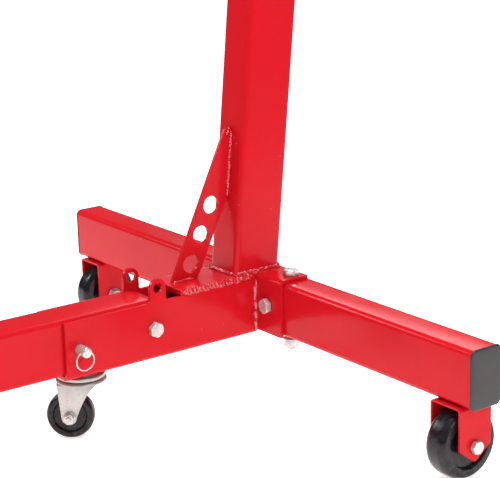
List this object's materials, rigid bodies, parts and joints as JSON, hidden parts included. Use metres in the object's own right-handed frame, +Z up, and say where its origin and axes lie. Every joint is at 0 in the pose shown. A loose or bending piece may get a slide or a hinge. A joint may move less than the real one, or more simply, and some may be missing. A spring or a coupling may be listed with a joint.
{
  "type": "engine hoist crane",
  "caption": "Folding engine hoist crane on a wheeled crossbar base, with a leaning mast, a hand-pumped ram and a telescopic boom with a swivel hook.",
  "frame": {"origin": "on the floor, at the middle of the whole crane's box", "axes": "+X forward along the leg and boom, +Y to the crane's left, +Z up"},
  "size_m": [1.141, 0.9066, 1.6318],
  "materials": {
    "red_paint": "glossy red powder coat",
    "cap_plastic": "satin dark grey plastic",
    "wheel_black": "hard black wheel, polished tread",
    "zinc_fastener": "bright zinc plate",
    "zinc_caster": "pressed steel, zinc plated",
    "chrome_rod": "hard chrome",
    "black_paint": "semi-gloss black paint"
  },
  "bodies": {
    "frame": {"crossbar": "red_paint", "saddle": "red_paint", "leg_channel": "red_paint", "deck_plate": "red_paint", "mast": "red_paint", "mast_gusset": "red_paint", "wheel_bracket_left": "red_paint", "wheel_bracket_right": "red_paint", "mast_cheek_left": "red_paint", "mast_cheek_right": "red_paint", "ram_foot_bracket": "red_paint", "end_cap_left": "cap_plastic", "end_cap_right": "cap_plastic", "saddle_bolt_top_left": "zinc_fastener", "saddle_bolt_top_right": "zinc_fastener", "saddle_bolt_side_left": "zinc_fastener", "saddle_bolt_side_right": "zinc_fastener", "wheel_axle_left": "zinc_fastener", "wheel_axle_right": "zinc_fastener", "leg_pivot_bolt": "zinc_fastener", "boom_pivot_bolt": "zinc_fastener", "ram_foot_bolt": "zinc_fastener", "centre_caster_mount": "zinc_caster"},
    "folding_leg": {"leg": "red_paint", "front_saddle": "red_paint", "front_crossbar": "red_paint", "front_cap_left": "cap_plastic", "front_cap_right": "cap_plastic", "front_bolt_top_left": "zinc_fastener", "front_bolt_top_right": "zinc_fastener", "front_left_caster_mount": "zinc_caster", "front_right_caster_mount": "zinc_caster"},
    "lock_pin": {"lock_pin": "zinc_fastener"},
    "lock_pin_ring": {"lock_pin_ring": "zinc_fastener"},
    "rear_wheel_left": {"rear_wheel_left": "wheel_black"},
    "rear_wheel_right": {"rear_wheel_right": "wheel_black"},
    "centre_caster": {"centre_caster_fork": "zinc_caster", "centre_caster_axle": "zinc_fastener"},
    "centre_caster_wheel": {"centre_caster_wheel": "wheel_black"},
    "front_left_caster": {"front_left_caster_fork": "zinc_caster", "front_left_caster_axle": "zinc_fastener"},
    "front_left_caster_wheel": {"front_left_caster_wheel": "wheel_black"},
    "front_right_caster": {"front_right_caster_fork": "zinc_caster", "front_right_caster_axle": "zinc_fastener"},
    "front_right_caster_wheel": {"front_right_caster_wheel": "wheel_black"},
    "boom": {"boom_outer": "red_paint", "ram_head_bracket": "red_paint", "ram_head_bolt": "zinc_fastener"},
    "boom_extension": {"boom_inner": "red_paint", "hook_bolt": "zinc_fastener"},
    "boom_clamp_screw": {"boom_clamp_screw": "zinc_fastener"},
    "hook_clevis": {"hook_clevis": "zinc_fastener"},
    "hook": {"hook": "black_paint"},
    "hook_latch": {"hook_latch": "zinc_fastener"},
    "ram": {"ram_body": "black_paint"},
    "ram_rod": {"ram_rod": "chrome_rod"},
    "pump_plunger": {"pump_plunger": "chrome_rod"},
    "pump_lever": {"pump_lever": "red_paint"},
    "pump_handle": {"pump_handle": "zinc_fastener"},
    "release_valve": {"release_valve": "zinc_fastener"}
  },
  "joints": [
    {"name": "leg_fold", "type": "hinge", "parent": "frame", "child": "folding_leg", "pos_m": [-0.21355, 0, 0.138], "axis": [0, -1, 0], "range_deg": [0, 96]},
    {"name": "lock_pin_pull", "type": "slide", "parent": "frame", "child": "lock_pin", "axis": [0, 1, 0], "range_m": [0, 0.095]},
    {"name": "lock_pin_ring_swing", "type": "hinge", "parent": "lock_pin", "child": "lock_pin_ring", "pos_m": [-0.09755, 0.04825, 0.1357], "axis": [1, 0, 0], "range_deg": [-20, 110]},
    {"name": "rear_wheel_left_spin", "type": "hinge", "parent": "frame", "child": "rear_wheel_left", "pos_m": [-0.41055, 0.412, 0.0465], "axis": [0, 1, 0], "continuous": true},
    {"name": "rear_wheel_right_spin", "type": "hinge", "parent": "frame", "child": "rear_wheel_right", "pos_m": [-0.41055, -0.412, 0.0465], "axis": [0, 1, 0], "continuous": true},
    {"name": "centre_caster_swivel", "type": "hinge", "parent": "frame", "child": "centre_caster", "pos_m": [-0.11805, 0, 0.05], "axis": [0, 0, 1], "continuous": true},
    {"name": "centre_caster_spin", "type": "hinge", "parent": "centre_caster", "child": "centre_caster_wheel", "pos_m": [-0.10579, -0.01029, 0.032], "axis": [-0.6428, -0.766, 0], "continuous": true},
    {"name": "front_left_caster_swivel", "type": "hinge", "parent": "folding_leg", "child": "front_left_caster", "pos_m": [0.53655, 0.27, 0.05], "axis": [0, 0, 1], "continuous": true},
    {"name": "front_left_caster_spin", "type": "hinge", "parent": "front_left_caster", "child": "front_left_caster_wheel", "pos_m": [0.5227, 0.262, 0.032], "axis": [-0.5, 0.866, 0], "continuous": true},
    {"name": "front_right_caster_swivel", "type": "hinge", "parent": "folding_leg", "child": "front_right_caster", "pos_m": [0.53655, -0.27, 0.05], "axis": [0, 0, 1], "continuous": true},
    {"name": "front_right_caster_spin", "type": "hinge", "parent": "front_right_caster", "child": "front_right_caster_wheel", "pos_m": [0.5211, -0.27414, 0.032], "axis": [-0.2588, 0.9659, 0], "continuous": true},
    {"name": "boom_lift", "type": "hinge", "parent": "frame", "child": "boom", "pos_m": [-0.53797, 0, 1.59184], "axis": [0, -1, 0], "range_deg": [-10, 40]},
    {"name": "ram_tilt", "type": "hinge", "parent": "frame", "child": "ram", "pos_m": [-0.39704, 0, 1.04986], "axis": [0, -1, 0], "range_deg": [-5, 20]},
    {"name": "ram_rod_tilt", "type": "hinge", "parent": "boom", "child": "ram_rod", "pos_m": [0.01813, 0, 1.52584], "axis": [0, -1, 0], "range_deg": [-20, 5]},
    {"name": "boom_extend", "type": "slide", "parent": "boom", "child": "boom_extension", "axis": [1, 0, 0], "range_m": [0, 0.25]},
    {"name": "boom_clamp_turn", "type": "hinge", "parent": "boom", "child": "boom_clamp_screw", "pos_m": [0.06203, -0.085, 1.59184], "axis": [0, 1, 0], "range_deg": [0, 720]},
    {"name": "hook_swing", "type": "hinge", "parent": "boom_extension", "child": "hook_clevis", "pos_m": [0.22703, 0, 1.59184], "axis": [0, -1, 0], "range_deg": [-42, 42]},
    {"name": "hook_swivel", "type": "hinge", "parent": "hook_clevis", "child": "hook", "pos_m": [0.22703, 0, 1.51184], "axis": [0, 0, 1], "continuous": true},
    {"name": "hook_latch_open", "type": "hinge", "parent": "hook", "child": "hook_latch", "pos_m": [0.22204, 0, 1.48484], "axis": [0, 1, 0], "range_deg": [0, 38]},
    {"name": "pump_stroke", "type": "hinge", "parent": "ram", "child": "pump_lever", "pos_m": [-0.34452, 0.058, 1.15267], "axis": [0, -1, 0], "range_deg": [0, 45]},
    {"name": "pump_plunger_slide", "type": "slide", "parent": "ram", "child": "pump_plunger", "axis": [0.6573, 0, 0.7536], "range_m": [0, 0.02151]},
    {"name": "pump_handle_lift_out", "type": "slide", "parent": "pump_lever", "child": "pump_handle", "axis": [0.988, 0, 0.1548], "range_m": [0, 0.075]},
    {"name": "release_valve_turn", "type": "hinge", "parent": "ram", "child": "release_valve", "pos_m": [-0.36746, -0.05, 1.08377], "axis": [0, 1, 0], "range_deg": [0, 360]}
  ],
  "couplings": [
    {"joint": "ram_tilt", "follows": "boom_lift", "ratio": 0.5},
    {"joint": "ram_rod_tilt", "follows": "boom_lift", "ratio": -0.5},
    {"joint": "pump_plunger_slide", "follows": "pump_stroke", "m_per_rad": 0.02726}
  ]
}
